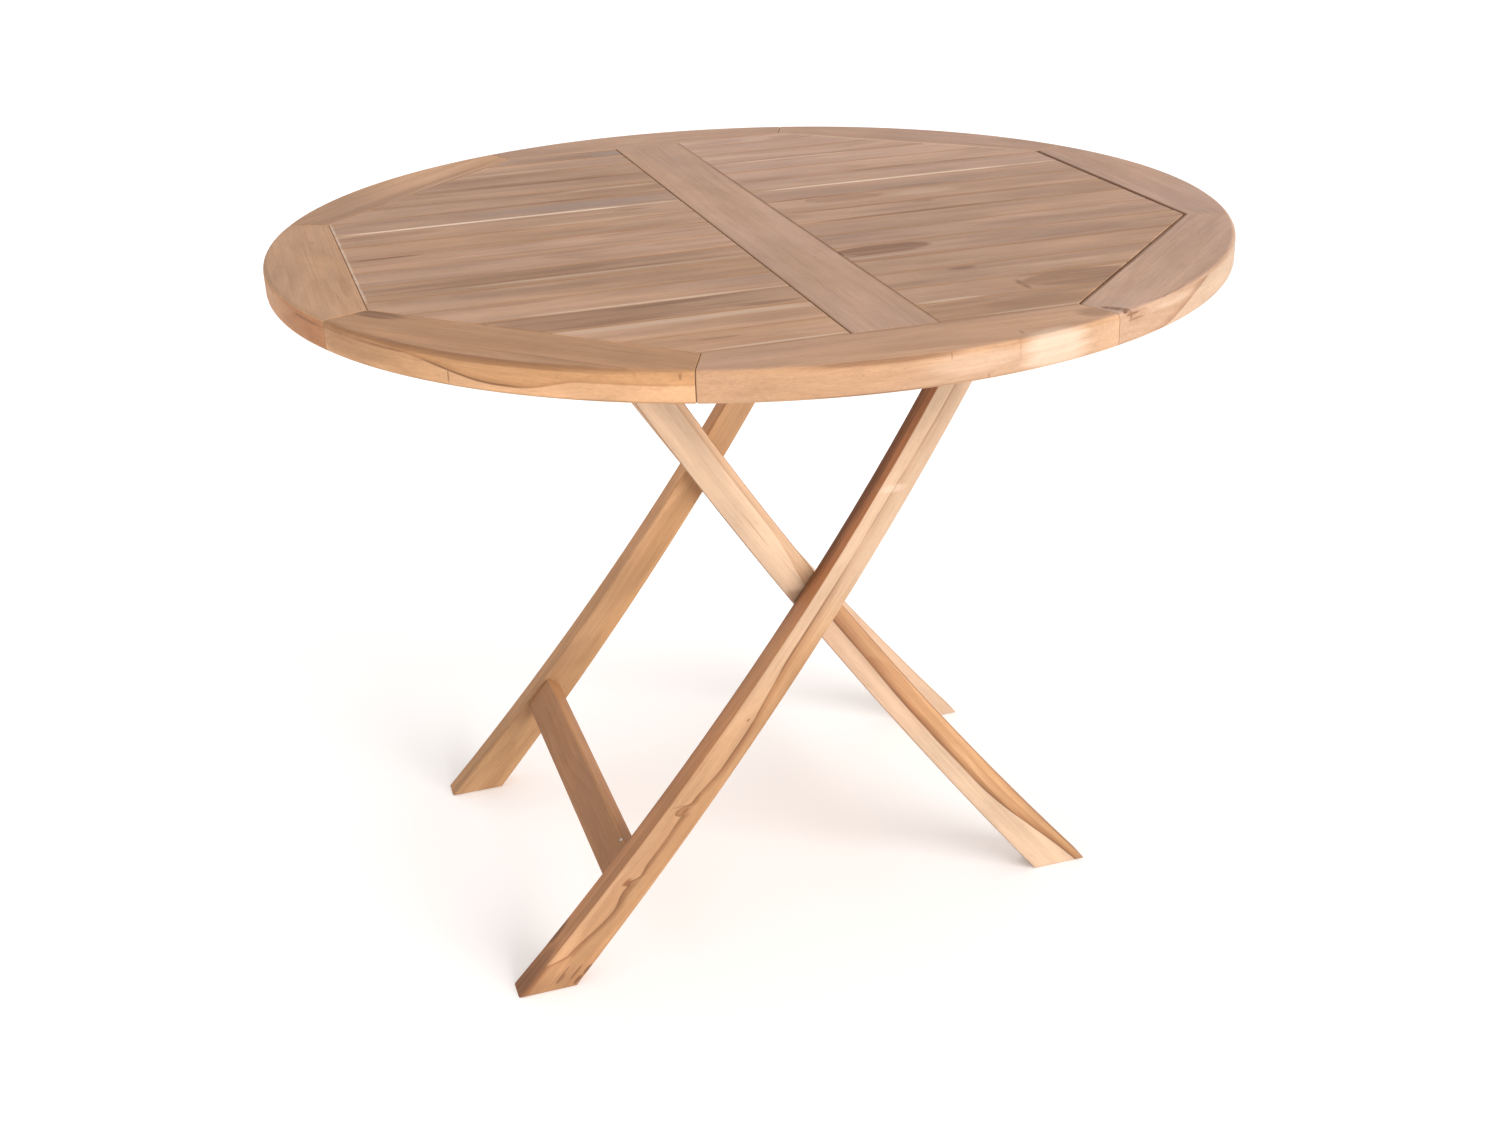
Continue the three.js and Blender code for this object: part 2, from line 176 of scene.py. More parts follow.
# Seeds that set one board's grain apart from the next one's.
SLAT_SEED = 5
SLAT_SEED_STEP = 2.71
SLAT_SIDE_STEP = 31
RIM_SEED = 0.97
RIM_SEED_STEP = 1.37
CENTRE_RAIL_SEED = 21.3
LEG_SEEDS = {"front": 41.7, "rear": 47.1}
STRETCHER_SEED = 61.3
BATTEN_SEED = 71.9

# A half width that no board reaches, for boards without dirt along their sides.
CLEAN_SIDES = 0.2

# How soft the edge of each kind of mark is.
MARK_SOFTNESS = {"dark": 0.5, "lens": 0.14, "crack": 0.25, "pale": 0.5, "grey": 0.45}

# Tone and warmth of each slat, front to rear. The rear right slats are lighter and cooler: partly their own
# tone, partly a painted sheen.
SLAT_LOOKS = {
    "left": (
        (1.12, 0.62), (1.10, 0.55), (0.95, 0.75), (1.04, 0.45),
        (0.94, 0.60), (0.92, 0.70), (1.01, 0.45), (1.00, 0.50),
        (1.01, 0.55), (1.03, 0.50), (0.97, 0.30), (0.93, 0.50),
        (0.92, 0.50), (0.95, 0.40), (1.01, 0.40), (0.92, 0.30),
    ),
    "right": (
        (0.92, 0.65), (1.02, 0.45), (1.00, 0.50), (1.02, 0.40),
        (0.98, 0.45), (0.98, 0.40), (0.99, 0.35), (0.98, 0.50),
        (1.06, 0.30), (1.05, 0.30), (1.10, 0.20), (1.12, 0.20),
        (1.16, 0.20), (1.17, 0.10), (1.16, 0.10), (1.20, 0.10),
    ),
}

# How streaky the slats of each side are, and the one slat that stands out.
SLAT_STREAKS = {"left": 0.28, "left_03": 0.95, "right": 0.2}
SLAT_FIGURE = 0.75

# Lines where the middle slats' ends meet the rim: kind, place and strength. In millimetres.
END_LINES = {"left": ("pale", -417.8, 0.55), "right": ("dark", 417.6, 0.9)}
END_LINE_SLATS = range(5, 12)
END_LINE_REACH = (1.6, 40)
SLAT_HALF_PITCH = 27

# Marks in the slats: kind, place across the table, half length and half width in millimetres, and strength.
SLAT_MARKS = {
    "left_01": (("dark", -148, -386, 22, 3, 0.4), ("pale", -110, -415, 75, 3, 0.5)),
    "left_02": (("pale", -150, -322, 150, 9, 0.35), ("dark", -150, -346, 120, 10, 0.25)),
    "left_03": (
        ("dark", -225, -305, 85, 4, 0.75),
        ("dark", -190, -295, 60, 2.5, 0.5),
        ("dark", -120, -288, 45, 2.5, 0.5),
        ("dark", -190, -288, 135, 17, 0.1),
        ("crack", -205, -300, 75, 1.3, 0.6),
        ("crack", -150, -292, 65, 1.1, 0.5),
        ("crack", -240, -284, 50, 1.1, 0.5),
        ("crack", -115, -298, 40, 1.1, 0.45),
        # A painted shadow line along the rear edge, by the joint with left_04.
        ("dark", -200, -264, 150, 3.0, 0.55),
        ("dark", -75, -302, 35, 5, 0.6),
        ("lens", -240, -286, 102, 26, 0.3),
    ),
    "left_04": (("pale", -170, -256, 150, 2.2, 0.6), ("dark", -290, -213, 50, 4, 0.3)),
    "left_05": (("dark", -260, -178, 80, 16, 0.2),),
    "left_06": (
        ("dark", -235, -131, 220, 3.5, 0.65),
        ("dark", -290, -118, 150, 12, 0.35),
        ("pale", -200, -139, 220, 3, 0.3),
    ),
    "left_08": (
        ("dark", -382, 3, 36, 4, 0.75),
        ("dark", -230, -32, 130, 4, 0.25),
        ("dark", -85, -18, 45, 3, 0.3),
    ),
    "left_09": (("dark", -115, 16, 45, 9, 0.25),),
    "left_10": (
        ("dark", -370, 96, 70, 12, 0.35),
        ("dark", -102, 98, 20, 4, 0.5),
        ("pale", -150, 66, 110, 4, 0.3),
    ),
    "left_11": (
        ("pale", -230, 117.5, 190, 3, 1.0),
        ("grey", -160, 142, 115, 18, 0.6),
        ("dark", -370, 152, 60, 9, 0.2),
    ),
    "left_12": (
        ("dark", -140, 172, 80, 4, 0.5),
        ("lens", -100, 191, 82, 15, 0.24),
        ("pale", -90, 212, 60, 3, 0.4),
    ),
    # A painted shade line along the rear edge, by the joint with left_14.
    "left_13": (("dark", -165, 271, 130, 5, 0.85),),
    "left_14": (("dark", -215, 316, 90, 8, 0.3), ("dark", -180, 280, 150, 4, 0.4)),
    "left_15": (("pale", -180, 338, 90, 4, 0.35),),
    "left_16": (("grey", -56, 395, 26, 14, 0.7), ("dark", -130, 398, 60, 12, 0.25)),
    "right_01": (
        ("dark", 150, -394, 60, 20, 0.4),
        ("dark", 80, -376, 40, 5, 0.3),
        ("pale", 140, -416, 60, 2.5, 0.4),
    ),
    "right_02": (
        ("pale", 75, -361, 34, 4, 0.5),
        ("lens", 215, -339, 60, 25, 0.5),
        ("crack", 190, -317, 38, 1.6, 0.6),
        ("dark", 156, -342, 4, 20, 0.7),
    ),
    "right_03": (
        ("dark", 128, -268, 16, 6, 0.65),
        ("dark", 60, -298, 30, 6, 0.3),
        ("pale", 225, -286, 50, 4, 0.25),
    ),
    "right_04": (("dark", 210, -209, 170, 3.5, 0.4),),
    "right_05": (
        ("lens", 84, -172, 54, 16, 0.75),
        ("crack", 80, -187, 46, 2.2, 0.85),
        ("crack", 100, -158, 34, 1.4, 0.6),
        ("pale", 70, -197, 50, 3, 0.25),
        ("crack", 150, -153, 5, 1.5, 0.3),
    ),
    "right_06": (("dark", 60, -102, 70, 3, 0.2),),
    "right_08": (
        ("dark", 180, -41, 140, 3.5, 0.7),
        ("dark", 220, 4, 190, 4, 0.5),
        ("dark", 200, -2, 18, 6, 0.4),
    ),
    "right_09": (
        ("lens", 128, 46, 44, 15, 0.3),
        ("lens", 90, 50, 9, 8, 0.35),
        ("pale", 215, 40, 45, 14, 0.2),
    ),
    "right_10": (("dark", 215, 70, 60, 8, 0.35), ("dark", 90, 64, 50, 3, 0.4)),
    "right_11": (("pale", 235, 118, 190, 2.8, 0.95),),
    "right_12": (
        ("dark", 222, 172, 52, 7, 0.5),
        ("dark", 320, 171, 70, 4, 0.35),
        ("dark", 75, 176, 40, 8, 0.3),
    ),
    "right_13": (("pale", 152, 273, 84, 3, 0.7), ("dark", 150, 264, 84, 3, 0.3)),
    "right_14": (("dark", 180, 324, 130, 5, 0.3),),
    "right_16": (("pale", 138, 394, 26, 11, 0.3), ("dark", 110, 418, 60, 3, 0.3)),
}

# Rim looks. Marks lie on the board: along it anticlockwise from its middle, inwards, and up, in metres.
# Marks under "arris" follow the round edge instead: along, in from the edge, and up.
# "edge" is how much lighter and how much redder the outer side is than the top: partly its own grain, partly
# painted light and shade.
RIM_LOOKS = {
    1: {
        "tone": 1.11,
        "warmth": 0.12,
        "edge": (0.94, 0.0),
        "marks": [("dark", (0, 0.0396, 0.015), (0.3, 0.0030, 0.006), 1.0)],
    },
    2: {
        "tone": 1.07,
        "warmth": 0.30,
        "marks": [
            ("dark", (0, 0.028, 0.015), (0.2, 0.010, 0.006), 0.25),
            ("pale", (0, 0.040, 0.015), (0.2, 0.002, 0.004), 0.45),
        ],
    },
    3: {"tone": 1.06, "warmth": 0.40},
    4: {
        "tone": (1.11, ((-0.05, 0.08, -0.25),)),
        "warmth": 0.82,
        "marks": [
            ("dark", (0, 0.030, 0.015), (0.2, 0.012, 0.008), 0.35),
            ("crack", (-0.06, 0.0385, 0.015), (0.16, 0.0014, 0.004), 0.8),
            ("pale", (-0.04, 0.0362, 0.015), (0.12, 0.0013, 0.004), 0.6),
        ],
    },
    5: {
        "tone": (1.02, ((0.0, 0.12, 0.05),)),
        "warmth": 0.85,
        "edge": (1.13, (0.45, ((0.04, 0.15, 0.45),))),
        "marks": [
            ("dark", (0.08, 0.030, 0.015), (0.05, 0.006, 0.008), 0.25),
            ("crack", (-0.10, 0.016, 0.015), (0.004, 0.002, 0.01), 0.35),
        ],
        "arris": [
            ("dark", (0.155, 0.0, 0.008), (0.032, 0.01, 0.0022), 0.6),
            ("dark", (0.14, 0.0, -0.002), (0.05, 0.01, 0.014), 0.25),
        ],
    },
    6: {
        "tone": 0.91,
        "warmth": 1.0,
        "ruddy": 0.18,
        "edge": (1.10, 0.08),
        "marks": [
            ("dark", (-0.155, 0.031, 0.015), (0.035, 0.010, 0.005), 0.9),
            ("crack", (0.055, -0.0185, 0.015), (0.125, 0.0012, 0.01), 0.35),
            ("dark", (-0.02, 0.0, 0.015), (0.13, 0.002, 0.01), 0.2),
        ],
        "arris": [
            ("dark", (-0.02, 0.001, 0.0132), (0.20, 0.0045, 0.0036), 0.58),
            ("dark", (-0.15, 0.0, 0.004), (0.07, 0.01, 0.016), 0.36),
            ("dark", (-0.11, 0.0, 0.0085), (0.05, 0.01, 0.0018), 0.55),
            ("crack", (-0.0280, 0.0, -0.006), (0.0010, 0.01, 0.007), 0.65),
            ("crack", (0.180, 0.0, 0.0095), (0.0014, 0.01, 0.0035), 0.5),
        ],
        "saps": [
            (
                (0.15, ((-0.07, 0.0, 0.15),)),
                (0.16, ((-0.07, 0.0, 0.14), (0.05, 0.10, -0.11))),
                {
                    "line": (0.009, ((-0.085, 0.02, -0.016), (0.04, 0.10, 0.009))),
                    "through": True,
                    "side": -1,
                    "wander": 0.006,
                    "dark": (0.75, ((0.03, 0.06, -0.6),)),
                    "under": 0.3,
                },
            ),
        ],
    },
    7: {
        "tone": 1.18,
        "warmth": 0.55,
        "edge": ((0.96, ((-0.17, -0.02, -0.16),)), 0.2),
        "marks": [
            ("dark", (0.092, -0.014, 0.015), (0.0022, 0.005, 0.01), 0.55),
            ("dark", (0.05, 0.038, 0.015), (0.12, 0.004, 0.006), 0.4),
            ("dark", (0.174, 0.012, 0.015), (0.018, 0.014, 0.01), 0.5),
        ],
        "arris": [
            ("dark", (-0.045, 0.001, 0.0135), (0.075, 0.004, 0.003), 0.6),
            ("dark", (-0.04, 0.0, -0.0138), (0.07, 0.01, 0.0018), 0.6),
            ("crack", (0.0175, 0.0, 0.0125), (0.0008, 0.003, 0.005), 0.6),
            ("crack", (0.052, 0.0, -0.012), (0.0009, 0.01, 0.004), 0.55),
            ("crack", (0.0825, 0.0, 0.008), (0.0007, 0.006, 0.012), 0.25),
            ("pale", (0.120, 0.0, 0.0), (0.038, 0.014, 0.022), 0.7),
            ("pale", (0.040, 0.0, 0.002), (0.050, 0.006, 0.010), 0.25),
        ],
        "saps": [
            (
                (0.1, ((-0.06, 0.05, 0.3),)),
                0.0,
                {"line": 0.0125, "through": True, "side": -1, "wander": 0.004, "blend": 0.004, "dark": 0.0},
            ),
        ],
    },
    8: {
        "tone": 1.11,
        "warmth": 0.26,
        "bleach": 0.15,
        "edge": (0.77, 0.0),
        "marks": [
            ("dark", (0, 0.0396, 0.015), (0.3, 0.0030, 0.006), 1.0),
            ("lens", (-0.177, 0.006, 0.015), (0.0045, 0.016, 0.02), 0.8),
            ("crack", (-0.1815, -0.0035, 0.015), (0.0040, 0.0030, 0.0025), 0.9),
            ("grey", (-0.165, 0.014, 0.015), (0.03, 0.020, 0.004), 0.3),
        ],
        "arris": [
            ("crack", (-0.175, 0.0, 0.0115), (0.009, 0.01, 0.0012), 0.8),
            ("crack", (-0.171, 0.0, 0.0065), (0.011, 0.01, 0.0012), 0.6),
            ("dark", (-0.168, 0.0, 0.009), (0.016, 0.01, 0.007), 0.2),
            ("pale", (-0.110, 0.0, 0.009), (0.045, 0.012, 0.005), 0.3),
            ("crack", (-0.115, 0.004, 0.013), (0.040, 0.0010, 0.004), 0.4),
        ],
        "saps": [
            (
                0.65,
                0.0,
                {
                    "line": (-0.018, ((-0.17, -0.01, 0.034),)),
                    "through": True,
                    "side": -1,
                    "wander": 0.003,
                    "dark": 0.6,
                },
            ),
        ],
    },
}

# Leg looks. Marks and steps: along the leg from its foot, across it, and through it, in metres.
# A sap is how pale, how light, and where: everything on one side of its line.
# "edge" is the tone and redness of the narrow sides: partly their own grain, partly painted shade, darkest
# and reddest under the tabletop.
OUTER_LEG_LOOK = {
    "tone": (0.66, ((0.010, 0.035, 0.15), (0.060, 0.090, -0.08), (0.24, 0.50, 0.09))),
    "warmth": 0.80,
    "ruddy": (0.30, ((0.02, 0.08, -0.16), (0.30, 0.50, -0.14))),
    "bleach": (0.0, ((0.42, 0.60, 0.8),)),
    "edge": (
        (1.40, ((0.25, 0.32, 0.18), (0.44, 0.52, -0.19), (0.60, 0.68, -0.08))),
        (0.5, ((0.45, 0.54, 0.35),)),
    ),
    "figure": 1.0,
    "knots": [(0.151, 0.0070, 0.0040), (0.244, 0.0015, 0.0032), (0.365, 0.002, 0.0018)],
    "saps": [
        (
            (0.08, ((0.25, 0.55, 0.62),)),
            (0.17, ((0.14, 0.17, -0.03), (0.25, 0.33, -0.09), (0.42, 0.55, -0.03))),
            {
                "line": (
                    0.0245,
                    (
                        (0.038, 0.054, -0.0155),
                        (0.052, 0.108, -0.011),
                        (0.110, 0.142, 0.0065),
                        (0.142, 0.148, 0.002),
                        (0.150, 0.158, -0.007),
                        (0.200, 0.235, 0.001),
                        (0.236, 0.243, 0.006),
                        (0.246, 0.256, -0.0065),
                        (0.256, 0.300, -0.005),
                        (0.330, 0.460, 0.0080),
                        (0.620, 0.800, -0.003),
                    ),
                ),
                "wander": 0.001,
                "dark": (0.85, ((0.45, 0.60, -0.45),)),
            },
        ),
    ],
    "marks": [
        ("crack", (0.018, -0.0015, -0.014), (0.0075, 0.0023, 0.02), 1.0),
        ("crack", (0.0245, -0.0213, -0.014), (0.0075, 0.0023, 0.02), 1.0),
        ("crack", (0.011, -0.0198, -0.014), (0.0070, 0.0023, 0.02), 1.0),
        ("crack", (0.024, -0.012, -0.014), (0.010, 0.0016, 0.02), 0.75),
        ("crack", (0.027, 0.000, -0.014), (0.009, 0.0014, 0.02), 0.75),
        ("dark", (0.020, 0.0240, 0.002), (0.050, 0.006, 0.020), 0.65),
        ("dark", (0.070, 0.0230, 0.010), (0.022, 0.005, 0.006), 0.85),
        # The dark marks at 0.340 and 0.665 along the upper-left side are painted shade, strongest under the
        # tabletop.
        ("dark", (0.340, 0.0185, 0.0145), (0.40, 0.006, 0.007), 0.35),
        ("crack", (0.2525, 0.008, -0.014), (0.0016, 0.009, 0.02), 0.4),
        ("dark", (0.665, 0.0155, 0.0145), (0.24, 0.005, 0.018), 0.95),
        ("pale", (0.665, 0.004, -0.014), (0.006, 0.012, 0.02), 0.45),
    ],
}
INNER_LEG_LOOK = {
    "tone": (0.88, ((0.50, 0.62, 0.07),)),
    "warmth": 0.90,
    "ruddy": (0.0, ((0.24, 0.30, 0.18), (0.46, 0.52, -0.18))),
    "bleach": (0.0, ((0.48, 0.58, 0.55),)),
    "edge": (0.9, 0.43),
    "figure": 1.3,
    "saps": [
        (
            0.85,
            0.02,
            {
                "line": (-0.018, ((-0.02, 0.17, 0.0185), (0.30, 0.42, -0.002), (0.50, 0.62, -0.010))),
                "wander": 0.002,
                "dark": (0.9, ((0.46, 0.54, -0.7),)),
            },
        ),
    ],
    "marks": [
        ("crack", (0.26, -0.0005, -0.014), (0.07, 0.0010, 0.02), 0.7),
        ("crack", (0.44, -0.0015, -0.014), (0.06, 0.0010, 0.02), 0.7),
        # Painted shade beside the crossing with the outer leg.
        ("dark", (0.515, 0.004, -0.014), (0.012, 0.022, 0.02), 0.42),
        ("dark", (0.62, 0.001, -0.014), (0.03, 0.0011, 0.02), 0.3),
    ],
}
REAR_LEG_LOOKS = {
    "outer_leg": {
        "tone": (0.76, ((0.12, 0.32, 0.16),)),
        "warmth": 0.9,
        "edge": (1.30, 0.15),
        "figure": 0.8,
        # A painted shadow of the stretcher on the leg's front face.
        "marks": [("dark", (0.220, 0.002, -0.014), (0.035, 0.022, 0.02), 0.2)],
    },
    "inner_leg": {"tone": 1.0, "warmth": 0.6, "bleach": 0.8},
}

CENTRE_RAIL_LOOK = {
    "tone": 1.12,
    "warmth": 0.3,
    "streaks": 0.06,
    "figure": 0.35,
    "marks": [("dark", (0, 0.0392, 0), (0.43, 0.0014, 0), 0.5)],
}
STRETCHER_LOOK = {
    "tone": 0.82,
    "warmth": 0.95,
    "ruddy": 0.58,
    # Here "edge" makes the top and bottom faces lighter and less red: partly their own grain, partly painted
    # light on the top face.
    "edge": (1.25, -0.35),
    "figure": 0.5,
    "weather": 0.0,
}
BATTEN_LOOK = {"warmth": 0.6}
LEGS = (("outer_leg", OUTER_LEG, OUTER_LEG_LOOK), ("inner_leg", INNER_LEG, INNER_LEG_LOOK))

# Looks that all legs and all rim segments share.
LEG_STREAKS = 0.14
LEG_WEATHER = 0.3
RIM_STREAKS = 0.2
RIM_FIGURE = 0.55

# Screw heads and pins: radius, crown and recess depth in metres, recess reach and half width in radii.
SCREW_SIDES = 28
SCREW_PROFILE = ((1.0, 0.0), (1.0, 0.28), (0.93, 0.62), (0.78, 0.88))
RECESS_TAPER = (0.7, 0.9)
SCREW_HEAD = {"radius": 0.0042, "crown": 0.0017, "slot_reach": 0.52, "slot_half": 0.13, "slot_depth": 0.0011}
PIN_HEAD = {"radius": 0.0021, "crown": 0.0006, "slot_reach": 0.5, "slot_half": 0.14, "slot_depth": 0.0004}

# Rows of screws under the top: name, CAD node, distance from the middle line, and places along it.
SCREW_ROWS = (
    ("batten", "batten", 0.2454, (-0.33, -0.15, 0.0, 0.15, 0.33)),
    ("cleat", "catch_cleat", 0.134, (-0.40, -0.25, -0.13, 0.01)),
)
SCREW_Z = 0.6
INNER_PIN = (0.22, 0.160, 0.21)
OUTER_PIN = (-0.28, -0.186, 0.20)


def add_camera():
    data = bpy.data.cameras.new("camera")
    data.lens = CAMERA_LENS
    data.sensor_width = SENSOR_WIDTH
    camera = bpy.data.objects.new("camera", data)
    camera.location = CAMERA_PLACE
    camera.rotation_euler = [math.radians(angle) for angle in CAMERA_TURN]
    bpy.context.scene.collection.objects.link(camera)
    bpy.context.scene.camera = camera


def add_surround():
    scene = bpy.context.scene
    scene.view_settings.view_transform = "Standard"
    world = bpy.data.worlds.new("studio")
    scene.world = world
    world.use_nodes = True
    background = world.node_tree.nodes["Background"]
    background.inputs["Color"].default_value = WHITE
    background.inputs["Strength"].default_value = SURROUND_STRENGTH


def add_sun():
    data = bpy.data.lights.new("key", "SUN")
    data.energy = SUN_STRENGTH
    data.angle = math.radians(SUN_SIZE)
    data.color = SUN_COLOUR
    sun = bpy.data.objects.new("key", data)
    azimuth = math.radians(SUN_AZIMUTH)
    elevation = math.radians(SUN_ELEVATION)
    level = math.cos(elevation)
    source = Vector((math.sin(azimuth) * level, -math.cos(azimuth) * level, math.sin(elevation)))
    sun.rotation_mode = "QUATERNION"
    sun.rotation_quaternion = source.to_track_quat("Z", "Y")
    bpy.context.scene.collection.objects.link(sun)


def add_floor():
    mesh = bpy.data.meshes.new("floor")
    corners = [(x * FLOOR_REACH, y * FLOOR_REACH, 0) for x, y in ((-1, -1), (1, -1), (1, 1), (-1, 1))]
    mesh.from_pydata(corners, [], [(0, 1, 2, 3)])
    floor = bpy.data.objects.new("floor", mesh)
    floor.location.z = -FLOOR_DROP
    bpy.context.scene.collection.objects.link(floor)
    material = bpy.data.materials.new("floor")
    material.use_nodes = True
    surface = material.node_tree.nodes["Principled BSDF"]
    surface.inputs["Base Color"].default_value = FLOOR_COLOUR
    surface.inputs["Roughness"].default_value = FLOOR_ROUGHNESS
    surface.inputs["Specular IOR Level"].default_value = FLOOR_GLOSS
    surface.inputs["Emission Color"].default_value = WHITE
    surface.inputs["Emission Strength"].default_value = FLOOR_GLOW
    mesh.materials.append(material)


class Graph:
    """Short calls for building a node tree. A value may be a socket or a constant."""

    def __init__(self, tree):
        self.tree = tree

    def node(self, kind, **settings):
        node = self.tree.nodes.new(kind)
        for name, value in settings.items():
            setattr(node, name, value)
        return node

    def feed(self, value, socket):
        if isinstance(value, bpy.types.NodeSocket):
            self.tree.links.new(value, socket)
        else:
            socket.default_value = value

    def math(self, operation, a, b=0.0):
        node = self.node("ShaderNodeMath", operation=operation)
        self.feed(a, node.inputs[0])
        self.feed(b, node.inputs[1])
        return node.outputs[0]

    def add(self, a, b):
        return self.math("ADD", a, b)

    def subtract(self, a, b):
        return self.math("SUBTRACT", a, b)

    def times(self, a, b):
        return self.math("MULTIPLY", a, b)

    def vector(self, operation, a, b=(0, 0, 0)):
        node = self.node("ShaderNodeVectorMath", operation=operation)
        self.feed(a, node.inputs[0])
        self.feed(b, node.inputs[1])
        return node.outputs["Value" if operation in {"LENGTH", "DOT_PRODUCT"} else "Vector"]

    def split(self, vector):
        node = self.node("ShaderNodeSeparateXYZ")
        self.feed(vector, node.inputs[0])
        return node.outputs[0], node.outputs[1], node.outputs[2]

    def join(self, x, y, z):
        node = self.node("ShaderNodeCombineXYZ")
        for value, socket in zip((x, y, z), node.inputs):
            self.feed(value, socket)
        return node.outputs[0]

    def noise(self, vector, stretch, detail=2.0, roughness=0.5):
        node = self.node("ShaderNodeTexNoise")
        self.feed(self.vector("MULTIPLY", vector, stretch), node.inputs["Vector"])
        node.inputs["Scale"].default_value = 1.0
        node.inputs["Detail"].default_value = detail
        node.inputs["Roughness"].default_value = roughness
        return node.outputs[0]

    def span(self, value, low, high, start=0.0, end=1.0):
        """A smooth ramp from start at low to end at high."""
        node = self.node("ShaderNodeMapRange", interpolation_type="SMOOTHSTEP")
        names = ("Value", "From Min", "From Max", "To Min", "To Max")
        for item, name in zip((value, low, high, start, end), names):
            self.feed(item, node.inputs[name])
        return node.outputs[0]

    def mix(self, factor, a, b, blend="MIX"):
        node = self.node("ShaderNodeMix", data_type="RGBA", blend_type=blend)
        self.feed(factor, node.inputs["Factor"])
        for value, name in ((a, "A"), (b, "B")):
            socket = next(s for s in node.inputs if s.name == name and s.type == "RGBA")
            self.feed((*value, 1) if isinstance(value, tuple) else value, socket)
        return next(s for s in node.outputs if s.type == "RGBA")


def new_group(name, inputs, outputs):
    tree = bpy.data.node_groups.new(name, "ShaderNodeTree")
    for label, kind, default in inputs:
        socket = tree.interface.new_socket(label, in_out="INPUT", socket_type=f"NodeSocket{kind}")
        socket.default_value = default
    for label, kind in outputs:
        tree.interface.new_socket(label, in_out="OUTPUT", socket_type=f"NodeSocket{kind}")
    g = Graph(tree)
    return g, g.node("NodeGroupInput").outputs, g.node("NodeGroupOutput").inputs


def build_mark_group():
    """One patch of another colour: full inside its reach, ragged along the grain at its edge."""
    inputs = (
        ("Board", "Vector", (0, 0, 0)),
        ("Centre", "Vector", (0, 0, 0)),
        ("Scale", "Vector", (1, 1, 1)),
        ("Strength", "Float", 1.0),
        ("Soft", "Float", 0.5),
    )
    g, given, result = new_group("mark", inputs, (("Mask", "Float"),))
    board = given["Board"]
    soft = given["Soft"]
    offset = g.vector("SUBTRACT", board, given["Centre"])
    away = g.vector("LENGTH", g.vector("MULTIPLY", offset, given["Scale"]))
    ragged = g.subtract(g.noise(board, MARK_EDGE_CELLS, 3, 0.6), 0.5)
    ragged = g.times(ragged, g.times(soft, 2.0))
    rim = g.add(1.0, g.times(soft, 0.3))
    inside = g.span(g.add(away, ragged), g.subtract(1.0, soft), rim, 1.0, 0.0)
    lines = g.span(g.noise(board, MARK_LINE_CELLS, 2), 0.3, 0.6, 0.65, 1.0)
    g.feed(g.times(g.times(inside, lines), given["Strength"]), result["Mask"])


def read_noises(g, place):
    noises = {}
    for name, (cells, detail, roughness, offset) in WOOD_NOISE.items():
        spot = g.vector("ADD", place, offset) if offset else place
        noises[name] = g.noise(spot, cells, detail, roughness)
    return noises


def grow_rings(g, board, seed, noises):
    """Where the dark part of each annual ring lies."""
    bend = g.subtract(noises["bend"], 0.5)
    sway = g.subtract(noises["sway"], 0.5)
    _, y, z = g.split(board)
    sideways = g.add(g.add(y, g.times(bend, BEND_SIDEWAYS)), g.times(sway, SWAY_SIDEWAYS))
    depth = g.add(g.add(z, PITH_DEPTH), g.times(sway, SWAY_DEPTH))
    radius = g.vector("LENGTH", g.join(0.0, sideways, depth))
    ring = g.math("FRACT", g.add(g.times(radius, RINGS_PER_METRE), seed))
    late = g.times(g.span(ring, 0.15, 0.86), g.span(ring, 0.88, 1.0, 1.0, 0.0))
    return g.times(late, g.span(noises["late"], 0.3, 0.7, 0.15, 1.0))


def colour_wood(g, given, noises, late, pore):
    """The clean wood: rings, fibres, pores, streaks, and broad changes of tone and hue."""
    figure = given["Figure"]

    # Dark streaks run with the grain and gather in patches.
    streak = g.span(noises["streak"], 0.50, 0.72)
    patch = g.span(noises["patch"], 0.40, 0.66)
    streak = g.times(g.times(streak, patch), given["Streaks"])

    colour = g.mix(g.span(noises["cloud"], 0.3, 0.7), EARLYWOOD, DEEP_EARLYWOOD)
    colour = g.mix(g.times(g.times(late, 0.6), figure), colour, LATEWOOD)
    colour = g.mix(g.times(g.span(noises["coarse"], 0.42, 0.72, 0.0, 0.40), figure), colour, LATEWOOD)
    warmth = g.add(given["Warmth"], g.span(noises["hue"], 0.3, 0.7, -HUE_SWING, HUE_SWING))
    colour = g.mix(1.0, colour, g.mix(warmth, COOL, WARM), "MULTIPLY")
    colour = g.mix(given["Sapwood"], colour, SAPWOOD)
    colour = g.mix(streak, colour, DARK_STREAK_AND_SHADE)
    # Ruddy reddens the wood; on the narrow sides it also carries painted shade.
    colour = g.mix(given["Ruddy"], colour, g.mix(1.0, colour, RUDDY, "MULTIPLY"))

    bands = g.add(1.0, g.times(g.span(noises["band"], 0.32, 0.68, -0.12, 0.12), figure))
    light = g.times(g.span(noises["fibre"], 0.3, 0.7, 0.94, 1.06), bands)
    light = g.times(light, g.span(noises["mottle"], 0.32, 0.68, 0.955, 1.045))
    # Tone also carries the narrow sides' painted light and shade.
    light = g.times(light, given["Tone"])
    light = g.times(light, g.subtract(1.0, g.times(pore, PORE_DARKENS)))
    return g.mix(1.0, colour, g.join(light, light, light), "MULTIPLY")


